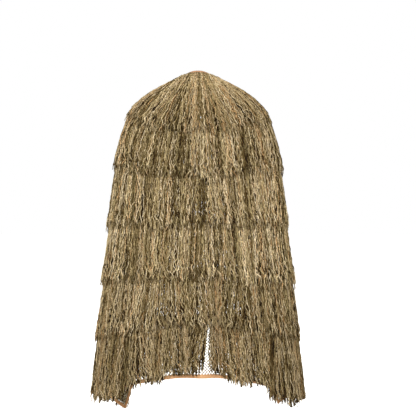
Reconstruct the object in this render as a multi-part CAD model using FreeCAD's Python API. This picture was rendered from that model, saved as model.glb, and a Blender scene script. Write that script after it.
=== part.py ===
"""Ghillie cape: an open-fronted netting cape covered in hanging rows of yarn fringe.

The cape is modelled as it hangs on a wearer's shoulders. The wearer faces -Y and +Z is up. The origin is the
centre of the neck opening, level with the top of the neck binding at the nape.

A place on the cloth has two coordinates: theta, the bearing round the body in degrees from the centre of the
back towards the wearer's left, and v, the share of the way from the neckline (0) to the hem (1).
"""

import math
import os

import FreeCAD
import Part

os.makedirs("parts", exist_ok=True)

# ---------------------------------------------------------------- driving dimensions, in millimetres
LEFT, RIGHT = 1, -1
SIDES = {"left": LEFT, "right": RIGHT}

# Hang of the cloth at the centre of the back, the side and the centre of the front: (v, reach, height).
# Reach is the distance of the cloth from the neck's axis.
BACK = [(0, 58, 0), (0.05, 88, -54), (0.1, 108, -113), (0.2, 130, -233), (0.35, 140, -415),
        (0.6, 155, -716), (0.8, 171, -952), (1, 190, -1187)]
SIDE = [(0, 60, -20), (0.05, 112, -50), (0.1, 168, -83), (0.15, 222, -124), (0.2, 266, -182),
        (0.27, 298, -276), (0.35, 316, -380), (0.6, 353, -724), (0.8, 382, -1000), (1, 412, -1276)]
FRONT = [(0, 52, -45), (0.05, 84, -96), (0.1, 112, -160), (0.2, 140, -305), (0.35, 155, -520),
         (0.6, 184, -890), (0.8, 204, -1190), (1, 226, -1490)]
SQUARENESS = 2.4            # exponent of the body's rounded cross-section: 2 is an ellipse
FLUTE_DEPTH = 11            # how deep the folds are at the hem
FOLDS = 13                  # folds round the whole hem

# Half of the front opening, at the neckline and at the hem.
NECK_GAP = 28
HEM_GAP = {LEFT: 300, RIGHT: 330}
GAP_CURVE = 1.3

# Where each row of fringe is sewn on, and where its tips hang to, as shares of the length.
ROW_TOPS = [0.022, 0.18, 0.323, 0.485, 0.653, 0.803]
ROW_TIPS = [0.21, 0.353, 0.515, 0.683, 0.833, 0.984]
FIRST_ROW_DIP = 0.044       # how much lower the first row starts at the front edges, below the neck tab
SWING_ROW = 3               # rows from this one down swing with the front flaps
SPLIT_V = 0.318             # where a front's upper part ends and its swinging part starts
SPLIT_GAP = 0.004

NET_THICK = 1.5
TAPE_WIDTH, TAPE_THICK, TAPE_LIFT = 18, 1.0, 2.0
EDGE_BINDING_WIDTH, HEM_BINDING_WIDTH = 9, 14
BINDING_THICK, BINDING_ROOM = 1.0, 0.4
FRINGE_ROOT = (4.0, 9.5)    # inner and outer face of the fringe above the cloth where it is sewn on
FRINGE_TIP = (12.5, 20.0)   # the same at its tips, where it hangs over the row below
HINGE_GAP = 6               # degrees left clear on each side of a flap's fold line
BUNCH_GAP = 0.5             # degrees between bunches of yarn
BACK_BUNCHES, CHEST_BUNCHES, FLAP_BUNCHES = 8, 3, 2
TAPE_INSET, FRINGE_INSET = 12, 3        # how far the tapes and the fringe stop short of a front edge
SEAM_TAPE_WIDTH, SEAM_TAPE_THICK = 14, 1.0

# Neck closure: a webbing tab folds from a sewn anchor on the left neck end and snaps to a patch on the right.
# Its pieces lie in layers above the cloth, in the plane that rests on the chest at TAB_V.
TAB_V = 0.03
TAB_HEIGHT, TAB_THICK, PATCH_THICK = 24, 2.0, 1.6
TAB_HINGE_X, TAB_END_X, ANCHOR_X = 30, -60, 52
PATCH_X = (-31, -60)
PLAY = 0.5                  # clear gap between the tab and its anchor, and between socket and patch
LAYER_LIFT = 3.4            # how high the anchor and the patch lie above the cloth, over the bindings
SNAP_X = -47
CAP_R, CAP_DOME, SOCKET_R, SOCKET_DEPTH = 6.2, 1.6, 5.4, 2.0
STUD_R, STUD_NECK_R, SNAP_CLEAR = 3.0, 2.4, 0.35
FLANGE_R, FLANGE_THICK, RIVET_R = 4.8, 0.6, 1.6


# ---------------------------------------------------------------- the shape of the hanging cloth
def through(rows, v, column):
    """A smooth curve through a profile's rows, read at v."""
    knots = [row[0] for row in rows]
    values = [row[column] for row in rows]
    last = len(rows) - 1

    def slope(i):
        low, high = max(i - 1, 0), min(i + 1, last)
        return (values[high] - values[low]) / (knots[high] - knots[low])

    k = 0
    while k < last - 1 and v > knots[k + 1]:
        k += 1
    span = knots[k + 1] - knots[k]
    t = (v - knots[k]) / span
    return ((2 * t**3 - 3 * t**2 + 1) * values[k] + (t**3 - 2 * t**2 + t) * span * slope(k)
            + (3 * t**2 - 2 * t**3) * values[k + 1] + (t**3 - t**2) * span * slope(k + 1))


def flute(theta, v):
    """How far the folds push the cloth out. They start below the shoulders and leave the sides straight."""
    angle = math.radians(theta)
    depth = FLUTE_DEPTH * max(v, 0) ** 2.2 * math.cos(angle) ** 2
    return depth * (math.cos(FOLDS * angle) + 0.5 * math.cos((FOLDS + 6) * angle + 1))


def cloth(theta, v):
    """The point on the cloth's inner face at bearing theta and share v."""
    angle = math.radians(theta)
    facing = BACK if math.cos(angle) >= 0 else FRONT
    swell = (abs(math.sin(angle)) ** SQUARENESS + abs(math.cos(angle)) ** SQUARENESS) ** (-1 / SQUARENESS)
    across, along = swell * math.sin(angle), swell * math.cos(angle)
    height = across**2 * through(SIDE, v, 2) + (1 - across**2) * through(facing, v, 2)
    x, y = across * through(SIDE, v, 1), along * through(facing, v, 1)
    fold = 1 + flute(theta, v) / math.hypot(x, y)
    return FreeCAD.Vector(x * fold, y * fold, height)


def frame_at(theta, v):
    """Point, outward normal and downward direction of the cloth."""
    step = 0.004
    point = cloth(theta, v)
    round_body = (cloth(theta + 0.5, v) - cloth(theta - 0.5, v)).normalize()
    down = (cloth(theta, v + step) - cloth(theta, max(v - step, 0))).normalize()
    normal = down.cross(round_body).normalize()
    if normal.dot(FreeCAD.Vector(point.x, point.y, 40)) < 0:
        normal = normal * -1
    return point, normal, down


def off_cloth(theta, v, height):
    point, normal, _ = frame_at(theta, v)
    return point + normal * height


def front_bearing(side, v, gap):
    """Bearing of the place on the front that is gap away from the centre line."""
    across = gap / through(SIDE, v, 1)
    along = (1 - across**SQUARENESS) ** (1 / SQUARENESS)
    return side * (90 + math.degrees(math.atan2(along, across)))


def edge_bearing(side, v, inset=0):
    """Bearing of the front edge on one side, or of a line that runs inset from it."""
    return front_bearing(side, v, NECK_GAP + (HEM_GAP[side] - NECK_GAP) * max(v, 0) ** GAP_CURVE + inset)


# ---------------------------------------------------------------- solids from the cloth's shape
def solid_of(faces):
    shell = Part.Shell(faces)
    shell.sewShape()
    solid = Part.Solid(shell)
    if solid.Volume < 0:
        solid.reverse()
    if not solid.isValid():
        solid.fix(0.01, 0.01, 0.05)
    return solid


def surface_through(grid):
    surface = Part.BSplineSurface()
    surface.interpolate(grid)
    return surface


def patch(theta_from, theta_to, v_from, v_to, inner, outer, across, down):
    """A solid layer of the cloth. Bearings are functions of v, and the faces' heights of the way down. The
    top and the bottom are functions of the share of the way across. Columns crowd towards both borders,
    which keeps the surface true there."""
    grids = []
    for face in (inner, outer):
        grid = []
        for i in range(across + 1):
            share = (1 - math.cos(math.pi * i / across)) / 2
            row = []
            for j in range(down + 1):
                way = j / down
                v = v_from(share) + (v_to(share) - v_from(share)) * way
                theta = theta_from(v) + (theta_to(v) - theta_from(v)) * share
                row.append(off_cloth(theta, v, face(way)))
            grid.append(row)
        grids.append(surface_through(grid))
    inside, outside = grids
    faces = [inside.toShape(), outside.toShape()]
    u_low, u_high, v_low, v_high = inside.bounds()
    borders = [(s.uIso(u_low), s.uIso(u_high), s.vIso(v_low), s.vIso(v_high)) for s in (inside, outside)]
    for curve_in, curve_out in zip(*borders):
        faces.append(Part.makeRuledSurface(curve_in.toShape(), curve_out.toShape()))
    return solid_of(faces)


def strip(stations, section):
    """A solid of constant cross-section. Each station is (point, normal, outward), and the section's corners
    are (height along normal, reach along outward)."""
    curves = []
    for height, reach in section:
        line = Part.BSplineCurve()
        line.interpolate([point + normal * height + outward * reach for point, normal, outward in stations])
        curves.append(line)
    faces = [Part.makeRuledSurface(one.toShape(), following.toShape())
             for one, following in zip(curves, curves[1:] + curves[:1])]
    for end in (0, -1):
        point, normal, outward = stations[end]
        corners = [point + normal * height + outward * reach for height, reach in section]
        faces.append(Part.Face(Part.makePolygon(corners + corners[:1])))
    return solid_of(faces)


def fixed(value):
    return lambda _: value


def between(low, high):
    return lambda way: low + (high - low) * way


def flat_section(low, thick, width):
    return [(low, -width / 2), (low + thick, -width / 2), (low + thick, width / 2), (low, width / 2)]


def tape(theta_from, theta_to, v_at, count=24):
    """The woven tape that a row of fringe is sewn to. Its share is a function of the bearing."""
    stations = []
    for i in range(count + 1):
        theta = theta_from + (theta_to - theta_from) * i / count
        stations.append(frame_at(theta, v_at(theta)))
    return strip(stations, flat_section(TAPE_LIFT, TAPE_THICK, TAPE_WIDTH))


def folded_section(width):
    """The U of a binding tape folded over the cloth's edge, open on the cloth's side."""
    low, high = -BINDING_ROOM, NET_THICK + BINDING_ROOM
    top, mouth = BINDING_ROOM, -width
    return [(low - BINDING_THICK, mouth), (low - BINDING_THICK, top + BINDING_THICK),
            (high + BINDING_THICK, top + BINDING_THICK), (high + BINDING_THICK, mouth),
            (high, mouth), (high, top), (low, top), (low, mouth)]


def level_binding(theta_from, theta_to, v, outward, width, count=40):
    """A binding along the neckline (outward -1, up) or the hem (outward 1, down)."""
    stations = []
    for i in range(count + 1):
        theta = theta_from + (theta_to - theta_from) * i / count
        point, normal, down = frame_at(theta, v)
        stations.append((point, normal, down * outward))
    return strip(stations, folded_section(width))


def edge_binding(side, v_from, v_to, count=24):
    """A binding down one front edge."""
    stations = []
    for i in range(count + 1):
        v = v_from + (v_to - v_from) * i / count
        theta = edge_bearing(side, v)
        point, normal, _ = frame_at(theta, v)
        past_edge = point - cloth(theta - side * 2, v)
        low, high = max(v - 0.01, 0), v + 0.01
        along = cloth(edge_bearing(side, high), high) - cloth(edge_bearing(side, low), low)
        outward = normal.cross(along).normalize()
        if outward.dot(past_edge) < 0:
            outward = outward * -1
        stations.append((point, normal, outward))
    return strip(stations, folded_section(EDGE_BINDING_WIDTH))


def fringe(theta_from, theta_to, top_at, tip, bunches):
    """One row of fringe, as bunches of yarn side by side. Bearings are functions of v, and the top of the
    share of the way across."""
    start, stop = theta_from(tip), theta_to(tip)
    trim = math.copysign(BUNCH_GAP / 2, stop - start)
    made = []
    for k in range(bunches):
        def bearing(v, share, shift):
            return theta_from(v) + (theta_to(v) - theta_from(v)) * share + shift

        made.append(patch(lambda v: bearing(v, k / bunches, trim),
                          lambda v: bearing(v, (k + 1) / bunches, -trim),
                          lambda share: top_at((k + share) / bunches), fixed(tip),
                          between(FRINGE_ROOT[0], FRINGE_TIP[0]), between(FRINGE_ROOT[1], FRINGE_TIP[1]),
                          12, 10))
    return made


def save(node, *solids):
    shape = solids[0] if len(solids) == 1 else Part.makeCompound(list(solids))
    shape.exportStep(f"parts/{node}.step")


# ---------------------------------------------------------------- netting
SEAM_GAP = 0.3              # degrees between two panels of netting at their seam


def net(theta_from, theta_to, v_from, v_to, across, down):
    return patch(theta_from, theta_to, fixed(v_from), fixed(v_to), fixed(0), fixed(NET_THICK), across, down)


def make_nets():
    save("back_net_panel", net(fixed(-90 + SEAM_GAP), fixed(90 - SEAM_GAP), 0, 1, 80, 60))
    for name, side in SIDES.items():
        def edge(v):
            return edge_bearing(side, v)

        seam, fold = fixed(side * (90 + SEAM_GAP)), fixed(side * (90 + HINGE_GAP))
        save(f"{name}_chest_net_panel", net(seam, edge, 0, SPLIT_V - SPLIT_GAP, 22, 24))
        save(f"{name}_front_net_panel", net(fold, edge, SPLIT_V + SPLIT_GAP, 1, 20, 20))


# ---------------------------------------------------------------- bindings and seam tapes
def make_bindings():
    ends = [edge_bearing(side, 0) - side * 4 for side in (RIGHT, LEFT)]
    save("neck_binding", level_binding(ends[0], ends[1], 0, -1, EDGE_BINDING_WIDTH))
    save("back_hem_binding", level_binding(-90 + HINGE_GAP, 90 - HINGE_GAP, 1, 1, HEM_BINDING_WIDTH))
    for name, side in SIDES.items():
        corner = edge_bearing(side, 1) - side * 3
        save(f"{name}_hem_binding",
             level_binding(side * (90 + HINGE_GAP), corner, 1, 1, HEM_BINDING_WIDTH, 16))
        save(f"{name}_chest_edge_binding", edge_binding(side, 0.012, SPLIT_V - SPLIT_GAP))
        save(f"{name}_front_edge_binding", edge_binding(side, SPLIT_V + SPLIT_GAP, 0.996))


def seam_tape(theta, v_from, v_to):
    """Flat tape inside the cloth, running down it."""
    stations = []
    for i in range(17):
        point, normal, down = frame_at(theta, v_from + (v_to - v_from) * i / 16)
        stations.append((point, normal * -1, down.cross(normal)))
    return strip(stations, flat_section(0.5, SEAM_TAPE_THICK, SEAM_TAPE_WIDTH))


def make_seam_tapes():
    for name, side in SIDES.items():
        save(f"{name}_shoulder_seam_tape", seam_tape(side * 90, 0.03, SPLIT_V - 0.01))
        save(f"{name}_side_seam_tape", seam_tape(side * 87, SPLIT_V + 0.01, 0.985))


# ---------------------------------------------------------------- rows of fringe and their tapes
def chest_share(side, theta, v):
    """How far round the front a bearing is, from 0 at the side to 1 at the front edge."""
    start = 90 - HINGE_GAP
    return max(0, (side * theta - start) / (side * edge_bearing(side, v) - start))


def make_shoulder_rows():
    """The two upper rows, which run from one front edge round the back to the other."""
    for row in (1, 2):
        top, tip = ROW_TOPS[row - 1], ROW_TIPS[row - 1]
        dip = FIRST_ROW_DIP if row == 1 else 0
        chest_tip = min(tip, SPLIT_V - SPLIT_GAP)

        def tape_height(theta):
            side = LEFT if theta > 0 else RIGHT
            return top + dip * chest_share(side, theta, top + dip)

        ends = [edge_bearing(side, top + dip, TAPE_INSET) for side in (RIGHT, LEFT)]
        save(f"fringe_tape_{row}", tape(ends[0], ends[1], tape_height, 64))
        bunches = fringe(fixed(-90 + HINGE_GAP), fixed(90 - HINGE_GAP), fixed(top), tip, BACK_BUNCHES)
        for side in SIDES.values():
            bunches += fringe(fixed(side * (90 - HINGE_GAP)), lambda v: edge_bearing(side, v, FRINGE_INSET),
                              lambda share: top + dip * share, chest_tip, CHEST_BUNCHES)
        save(f"fringe_row_{row}", *bunches)


def make_lower_rows():
    """The rows below the chest: one piece of each on the back and one on each front flap."""
    for row in range(SWING_ROW, len(ROW_TOPS) + 1):
        top, tip = ROW_TOPS[row - 1], ROW_TIPS[row - 1]
        save(f"back_fringe_tape_{row}", tape(-90 + HINGE_GAP, 90 - HINGE_GAP, fixed(top), 48))
        save(f"back_fringe_row_{row}",
             *fringe(fixed(-90 + HINGE_GAP), fixed(90 - HINGE_GAP), fixed(top), tip, BACK_BUNCHES))
        front_top = max(top, SPLIT_V + 3 * SPLIT_GAP)
        for name, side in SIDES.items():
            fold = side * (90 + HINGE_GAP)
            save(f"{name}_fringe_tape_{row}",
                 tape(fold, edge_bearing(side, front_top, TAPE_INSET), fixed(front_top), 16))
            save(f"{name}_fringe_row_{row}",
                 *fringe(fixed(fold), lambda v: edge_bearing(side, v, FRINGE_INSET), fixed(front_top), tip,
                         FLAP_BUNCHES))


# ---------------------------------------------------------------- neck closure
def slab(x_from, x_to, back, thick):
    """A flat piece of webbing. Back is the height of its inner face above the cloth; forwards is -Y."""
    low = min(x_from, x_to)
    corner = FreeCAD.Vector(low, -back - thick, -TAB_HEIGHT / 2)
    return Part.makeBox(abs(x_to - x_from), thick, TAB_HEIGHT, corner)


def turned(outline, seat):
    """A round snap part on the height seat. The outline's corners are (radius, height above the seat)."""
    corners = [FreeCAD.Vector(radius, -seat - height, 0) for radius, height in outline]
    face = Part.Face(Part.makePolygon(corners + corners[:1]))
    body = face.revolve(FreeCAD.Vector(0, 0, 0), FreeCAD.Vector(0, 1, 0), 360)
    body.translate(FreeCAD.Vector(SNAP_X, 0, 0))
    return body


def onto_chest(shape):
    """Lay a shape made upright, facing -Y, onto the slope of the chest at the neck."""
    point, normal, _ = frame_at(180, TAB_V)
    slope = math.degrees(math.asin(normal.z))
    shape.rotate(FreeCAD.Vector(0, 0, 0), FreeCAD.Vector(1, 0, 0), -slope)
    shape.translate(point)
    return shape


def make_closure():
    patch_front = LAYER_LIFT + PATCH_THICK
    tab_back = patch_front + SOCKET_DEPTH + PLAY
    tab_front = tab_back + TAB_THICK
    hole = Part.makeCylinder(RIVET_R + 0.1, 30, FreeCAD.Vector(SNAP_X, 0, 0), FreeCAD.Vector(0, -1, 0))
    well = STUD_R + SNAP_CLEAR

    cap = [(0, -TAB_THICK), (RIVET_R, -TAB_THICK), (RIVET_R, 0), (CAP_R, 0), (CAP_R, 0.5),
           (CAP_R * 0.8, CAP_DOME * 0.75), (CAP_R * 0.45, CAP_DOME * 0.96), (0, CAP_DOME)]
    socket = [(0, 0), (SOCKET_R, 0), (SOCKET_R, -SOCKET_DEPTH + 0.5), (SOCKET_R - 0.6, -SOCKET_DEPTH),
              (well, -SOCKET_DEPTH), (well, -0.3), (0, -0.3)]
    stud = [(0, 0), (FLANGE_R, 0), (FLANGE_R, 0.3), (STUD_NECK_R, 0.4), (STUD_NECK_R, 0.9), (STUD_R, 1.2),
            (STUD_R * 0.9, 1.5), (STUD_R * 0.5, 1.75), (0, 1.8)]
    post = [(0, -FLANGE_THICK), (FLANGE_R, -FLANGE_THICK), (FLANGE_R, 0), (RIVET_R, 0),
            (RIVET_R, PATCH_THICK), (0, PATCH_THICK)]
    pieces = {
        "neck_tab": slab(TAB_HINGE_X, TAB_END_X, tab_back, TAB_THICK).cut(hole).Solids[0],
        "tab_anchor": slab(TAB_HINGE_X + PLAY, ANCHOR_X, LAYER_LIFT, tab_front - LAYER_LIFT),
        "snap_patch": slab(PATCH_X[0], PATCH_X[1], LAYER_LIFT, PATCH_THICK).cut(hole).Solids[0],
        "snap_cap": turned(cap, tab_front),
        "snap_socket": turned(socket, tab_back),
        "snap_stud": turned(stud, patch_front),
        "snap_post": turned(post, LAYER_LIFT),
    }
    for node, shape in pieces.items():
        save(node, onto_chest(shape))
    hinge = onto_chest(Part.Vertex(TAB_HINGE_X + PLAY / 2, -tab_front, 0)).Point
    axis = frame_at(180, TAB_V)[2] * -1
    print("neck tab folds about", [round(c, 2) for c in hinge], "along", [round(c, 4) for c in axis])


make_nets()
make_bindings()
make_seam_tapes()
make_shoulder_rows()
make_lower_rows()
make_closure()

for name, side in SIDES.items():
    low, high = off_cloth(side * 90, SPLIT_V, 8), off_cloth(side * 90, 1, 8)
    direction = (high - low).normalize()
    print(name, "fold line from", [round(c, 1) for c in low], "to", [round(c, 1) for c in high],
          "direction", [round(c, 4) for c in direction])
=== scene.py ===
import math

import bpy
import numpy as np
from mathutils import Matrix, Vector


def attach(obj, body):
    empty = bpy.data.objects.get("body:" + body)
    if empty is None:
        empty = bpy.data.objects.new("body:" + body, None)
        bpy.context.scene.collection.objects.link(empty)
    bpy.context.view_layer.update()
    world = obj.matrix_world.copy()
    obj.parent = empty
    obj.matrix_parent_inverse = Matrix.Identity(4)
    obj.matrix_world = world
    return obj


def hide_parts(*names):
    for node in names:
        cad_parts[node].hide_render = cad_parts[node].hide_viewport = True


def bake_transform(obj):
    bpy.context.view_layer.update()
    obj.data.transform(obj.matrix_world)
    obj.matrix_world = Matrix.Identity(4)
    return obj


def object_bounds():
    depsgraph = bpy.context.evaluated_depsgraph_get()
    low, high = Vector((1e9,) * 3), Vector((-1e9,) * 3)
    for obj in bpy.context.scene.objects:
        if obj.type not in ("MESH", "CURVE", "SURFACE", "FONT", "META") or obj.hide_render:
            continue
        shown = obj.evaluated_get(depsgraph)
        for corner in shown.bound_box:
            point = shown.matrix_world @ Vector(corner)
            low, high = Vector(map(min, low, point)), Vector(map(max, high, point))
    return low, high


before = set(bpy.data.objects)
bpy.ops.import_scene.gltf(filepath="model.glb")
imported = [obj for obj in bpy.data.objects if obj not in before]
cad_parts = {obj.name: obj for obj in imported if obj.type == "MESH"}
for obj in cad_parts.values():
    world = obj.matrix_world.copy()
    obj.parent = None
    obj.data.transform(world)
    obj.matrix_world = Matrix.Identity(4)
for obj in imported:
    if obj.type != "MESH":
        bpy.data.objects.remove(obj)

# The looks of a ghillie cape: netting, bound edges and hanging rows of yarn.
# The cloth hangs as it does in the CAD model. theta is the bearing round the body, in degrees from the centre
# of the back towards the wearer's left, and v the share of the way from the neckline (0) to the hem (1).
# Lengths are in metres.

cad_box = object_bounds()
scene = bpy.context.scene

# -------- driving dimensions
LEFT, RIGHT = 1, -1
SIDES = {"left": LEFT, "right": RIGHT}

# Hang of the cloth at the centre of the back, the side and the centre of the front: (v, reach, height).
BACK = [(0, 0.058, 0), (0.05, 0.088, -0.054), (0.1, 0.108, -0.113), (0.2, 0.130, -0.233),
        (0.35, 0.140, -0.415), (0.6, 0.155, -0.716), (0.8, 0.171, -0.952), (1, 0.190, -1.187)]
SIDE = [(0, 0.060, -0.020), (0.05, 0.112, -0.050), (0.1, 0.168, -0.083), (0.15, 0.222, -0.124),
        (0.2, 0.266, -0.182), (0.27, 0.298, -0.276), (0.35, 0.316, -0.380), (0.6, 0.353, -0.724),
        (0.8, 0.382, -1.000), (1, 0.412, -1.276)]
FRONT = [(0, 0.052, -0.045), (0.05, 0.084, -0.096), (0.1, 0.112, -0.160), (0.2, 0.140, -0.305),
         (0.35, 0.155, -0.520), (0.6, 0.184, -0.890), (0.8, 0.204, -1.190), (1, 0.226, -1.490)]
SQUARENESS = 2.4  # of the plan: 2 is an ellipse, and more is squarer
FLUTE_DEPTH = 0.011  # of the upright folds at the hem
FOLDS = 13  # folds round the whole hem
NECK_GAP = 0.028  # from the middle to a front edge, at the neck
HEM_GAP = {LEFT: 0.300, RIGHT: 0.330}
GAP_CURVE = 1.3  # 1 is a straight front edge, and more is one that opens late
BACK_LENGTH = 1.2  # along the cloth from the nape to the back hem

# The rows of yarn, by v, at the tapes and at the tips.
ROW_TOPS = [0.022, 0.18, 0.323, 0.485, 0.653, 0.803]
ROW_TIPS = [0.21, 0.353, 0.515, 0.683, 0.833, 0.984]
ROWS = range(1, len(ROW_TOPS) + 1)
LAST_ROW = len(ROW_TOPS)
FIRST_ROW_DIP = 0.044  # how much lower the first row's tape is at a front edge than at the side
COLLAR_RISE = 0.006  # how much higher the first row starts, under the neck binding
ROOT_RISE = 0.005  # from the middle of a tape up to where its yarn starts
SHOULDER_ROWS = (1, 2)  # whole in CAD, because they hang above the swing
ROW_TAPE_INSET = 0.012  # from a front edge to the end of a row's tape

# Yarn
STRAND_PITCH = 0.0035  # between strands of one layer, at the tips
LAYERS = 3
STRAND_RADIUS = 0.00175
CLUMP = 0.011  # width of a clump of strands that hang together
LOCK = 0.040  # width of a lock of clumps that lean together
LAYER_PAINTED_SHADE = (0.40, 0.88, 1.25)  # lightness from the under layer to the top one; the deeper layers are painted darker as shade
ROW_TONE = (0.79, 1.02, 1.12, 1.15, 0.98, 0.86)  # how light each row's yarn is, from the top row down
# Places in YARN_COLOURS: the middle, and the spread of the locks, the clumps and the single strands.
HUE, HUE_SPREAD = 0.52, (0.07, 0.16, 0.24)
DARK_SHARE, MORE_DARK_UNDER_AS_SHADE = 0.10, 0.35  # strands dyed dark, and more dark strands in the under layer as painted shade
ROW_SHADE = 0.28  # painted shade: how much darker a row is where it comes out from under the one above
EDGE_SPLAY = 0.013  # how far the strands at a front edge spread past it
EDGE_INSET = 0.003  # from a front edge to its first strand
UNDER_SHORT = 0.018  # how much higher the under layer ends, in shares of the cloth's length
UNDER_SHORT_AT_HEM = 0.002  # the same in the lowest row
UNDER_STOUT = 1.75  # how much thicker the under layer's strands are, to fill the gaps
STRAND_SIDES = 4
LEAST_LIFT = 0.0035  # strands keep this far off the cloth
ROOT_LIFT = (0.0040, 0.0085)  # height of the layers over the cloth, from the lowest to the highest
TIP_LIFT = (0.0120, 0.0190)  # the same at the tips
TIP_RAGGED = 0.012  # how uneven the clumps' ends are
CURL = 0.0075  # widest curl of a strand's end
STRAY_SHARE, STRAY_REACH = 0.26, 0.032  # strands that hang astray, and how far
# Waves down the strands: (least and most size, least and most waves in a strand's length).
DRIFT = ((0.001, 0.003), (0.7, 1.8))  # of whole clumps
BEND = ((0.0008, 0.0045), (0.6, 2.0))
WAVE = ((0.0008, 0.0038), (2.4, 5.0))
CRIMP = ((0.0008, 0.0030), (5.5, 8.5))
RISE = ((0.0004, 0.0022), (2.0, 6.0))  # off the cloth
SLUB, SLUBS = 0.12, (5, 9)  # share that a strand thickens, and how often

# How much lower the lowest row's tips end than ROW_TIPS says, in shares of the cloth's length.
LOWER_TIPS = 0.008  # everywhere
LOWER_OFF_MIDDLE = 0.014  # on the back, away from the bare stretch of hem binding
LOWER_LEFT_FRONT = 0.010
HIGHER_LEFT_SIDE = 0.012
LEFT_SIDE_AT, LEFT_SIDE_SPREAD = 95, 28  # bearings
# Over the corners of the fronts: (side, how much lower, bearings where it starts, is full, fades and ends).
CORNERS = [(LEFT, 0.020, (35, 43, 60, 82)), (RIGHT, 0.032, (34, 47, 52, 68))]
BARE_HEM_AT, BARE_HEM = 1.5, (14, 20)  # bearings: the middle, and how far off it fades and ends
HEM_SHOWS = 0.990  # the tips go no lower than this over the bare stretch of hem binding
HANGS_PAST = 0.026  # how much lower they may go elsewhere

# Netting
MESH_PITCH = 0.0085
CORD_RADIUS, CORD_SIDES = 0.00135, 3
NET_LIFT = 0.00075  # the cords' middle over the cloth's inner face
NET_INSET = 0.002  # from the panel's edges to the outermost crossings
HALF_COLUMNS = 180  # of crossings on each side of the seam, more than any panel fills

# Tapes and bindings
TAPE_WIDTH, TAPE_THICK, TAPE_LIFT = 0.018, 0.0010, 0.0020
SEAM_WIDTH, SEAM_THICK, SEAM_LIFT = 0.014, 0.0010, 0.0005
EDGE_BINDING_WIDTH, HEM_BINDING_WIDTH = 0.009, 0.014
BINDING_THICK, BINDING_ROOM, CLOTH_THICK = 0.0010, 0.0004, 0.0015
NECK_BINDING_STOPS = 4  # degrees before each front edge
HEM_BINDING_STOPS = 0.6  # the same at a front's hem
EDGE_FROM, EDGE_TO = 0.004, 0.998  # v where a front edge's binding starts and ends
PUCKER = 0.0005  # how far a sewn band wanders
STITCH_INSET = 0.002  # from a binding's long edge to its stitches
# Stitches: (distance from one to the next, length, radius).
EDGE_STITCH = (0.0042, 0.0028, 0.00032)
WEBBING_STITCH = (0.0028, 0.0020, 0.00030)
# The seam tapes inside: (name, bearing, v at the top, v at the bottom).
SEAMS = [("shoulder", 90, 0.03, 0.308), ("side", 87, 0.328, 0.985)]
TAB_END_RADIUS, WEBBING_CORNER, WEBBING_SOFT = 0.010, 0.0012, 0.0009
CLOSURE_V = 0.03
# The webbing of the neck closure: (CAD node, body, whether its free end is round, the stitching's
# distances from the low x end, the high x end and the sides, whether it is crossed).
CLOSURE = [("neck_tab", "closure_tab", True, (0.024, 0.004, 0.003), False),
           ("tab_anchor", "cape_back", False, (0.003, 0.003, 0.003), True),
           ("snap_patch", "cape_back", False, (0.0025, 0.0025, 0.0025), False)]

# Light: (name, place, size, power), and the share of the white surroundings that lights the cape.
LAMPS = [("key", (1.2, 3.2, 2.4), 1.2, 150),
         ("fill", (-2.6, 3.0, 0.8), 1.6, 50),
         ("front", (0.5, -3.4, 1.6), 1.8, 90)]
LAMPS_AIM = (0, 0, -0.6)
AMBIENT = 0.52
AMBIENT_COLOUR = (1.0, 0.92, 0.78, 1)
FLOOR_GLOW = 0.75
FLOOR_DROP = 0.04  # the floor's distance under the cape
FLOOR_HALF = 30

CAMERA_PLACE = (-0.04, 4.2, -0.54)
LENS, SENSOR = 90.9, 36.0  # in millimetres


# -------- the shape of the hanging cloth
def through(rows, v, column):
    """A smooth curve through a profile's rows, read at every v."""
    knots, values = (np.array([row[k] for row in rows], float) for k in (0, column))
    last = len(rows) - 1
    low, high = np.maximum(np.arange(last + 1) - 1, 0), np.minimum(np.arange(last + 1) + 1, last)
    slope = (values[high] - values[low]) / (knots[high] - knots[low])
    k = np.clip(np.searchsorted(knots, v) - 1, 0, last - 1)
    span = knots[k + 1] - knots[k]
    t = (v - knots[k]) / span
    return ((2 * t**3 - 3 * t**2 + 1) * values[k] + (t**3 - 2 * t**2 + t) * span * slope[k]
            + (3 * t**2 - 2 * t**3) * values[k + 1] + (t**3 - t**2) * span * slope[k + 1])


def flute(theta, v):
    """Depth of the upright folds."""
    angle = np.radians(theta)
    depth = FLUTE_DEPTH * np.maximum(v, 0) ** 2.2 * np.cos(angle) ** 2
    return depth * (np.cos(FOLDS * angle) + 0.5 * np.cos((FOLDS + 6) * angle + 1))


def cloth(theta, v):
    """Points on the cloth's inner face."""
    theta, v = np.broadcast_arrays(theta, v)
    sine, cosine = np.sin(np.radians(theta)), np.cos(np.radians(theta))
    swell = (np.abs(sine) ** SQUARENESS + np.abs(cosine) ** SQUARENESS) ** (-1 / SQUARENESS)
    across, along = swell * sine, swell * cosine
    depth, drop = (np.where(cosine >= 0, through(BACK, v, k), through(FRONT, v, k)) for k in (1, 2))
    height = across**2 * through(SIDE, v, 2) + (1 - across**2) * drop
    x, y = across * through(SIDE, v, 1), along * depth
    fold = 1 + flute(theta, v) / np.hypot(x, y)
    return np.stack([x * fold, y * fold, height], -1)


def unit(vectors):
    return vectors / np.maximum(np.linalg.norm(vectors, axis=-1, keepdims=True), 1e-12)


def frame_at(theta, v):
    """Points, outward normals and downward directions of the cloth."""
    step = 0.004
    point = cloth(theta, v)
    round_body = unit(cloth(theta + 0.5, v) - cloth(theta - 0.5, v))
    down = unit(cloth(theta, v + step) - cloth(theta, np.maximum(v - step, 0)))
    normal = unit(np.cross(down, round_body))
    outward = point[..., 0] * normal[..., 0] + point[..., 1] * normal[..., 1] + 0.04 * normal[..., 2]
    return point, np.where(outward[..., None] < 0, -normal, normal), down


def arc_lengths(line):
    """The distance along a line of points, at each of them."""
    return np.concatenate([[0], np.cumsum(np.linalg.norm(np.diff(line, axis=0), axis=1))])


def metres_per_degree(theta, v):
    return np.linalg.norm(cloth(theta + 0.5, v) - cloth(theta - 0.5, v), axis=-1)


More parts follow.
